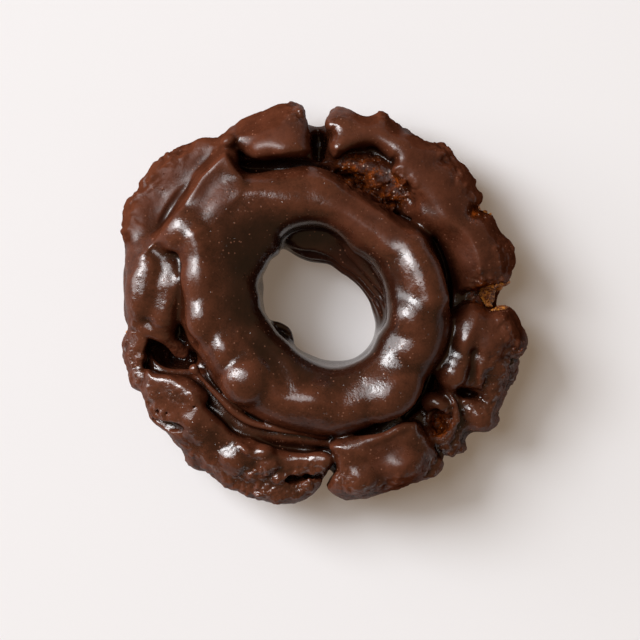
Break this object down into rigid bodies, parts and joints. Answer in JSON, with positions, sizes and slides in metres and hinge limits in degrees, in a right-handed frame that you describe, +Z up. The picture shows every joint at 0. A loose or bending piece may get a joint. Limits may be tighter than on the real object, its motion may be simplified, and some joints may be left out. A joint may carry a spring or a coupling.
{
  "type": "ring doughnut",
  "caption": "Old-fashioned ring doughnut: a craggy fried cake ring with a split, raised crown, coated in glossy chocolate glaze, with a bare underside.",
  "frame": {"origin": "under the middle of the doughnut's outline, on the surface it stands on", "axes": "+Z up, through the hole; +X along its longest side, by a hair; +Y across"},
  "size_m": [0.095, 0.0948, 0.0319],
  "materials": {
    "fried_cake": "dry, porous golden-brown crumb and fried crust",
    "chocolate_glaze": "glossy set chocolate glaze, thin and reddish on the ridges, duller on the broken edges"
  },
  "bodies": {
    "root": {"cake_ring": "fried_cake", "chocolate_glaze": "chocolate_glaze"}
  },
  "joints": []
}
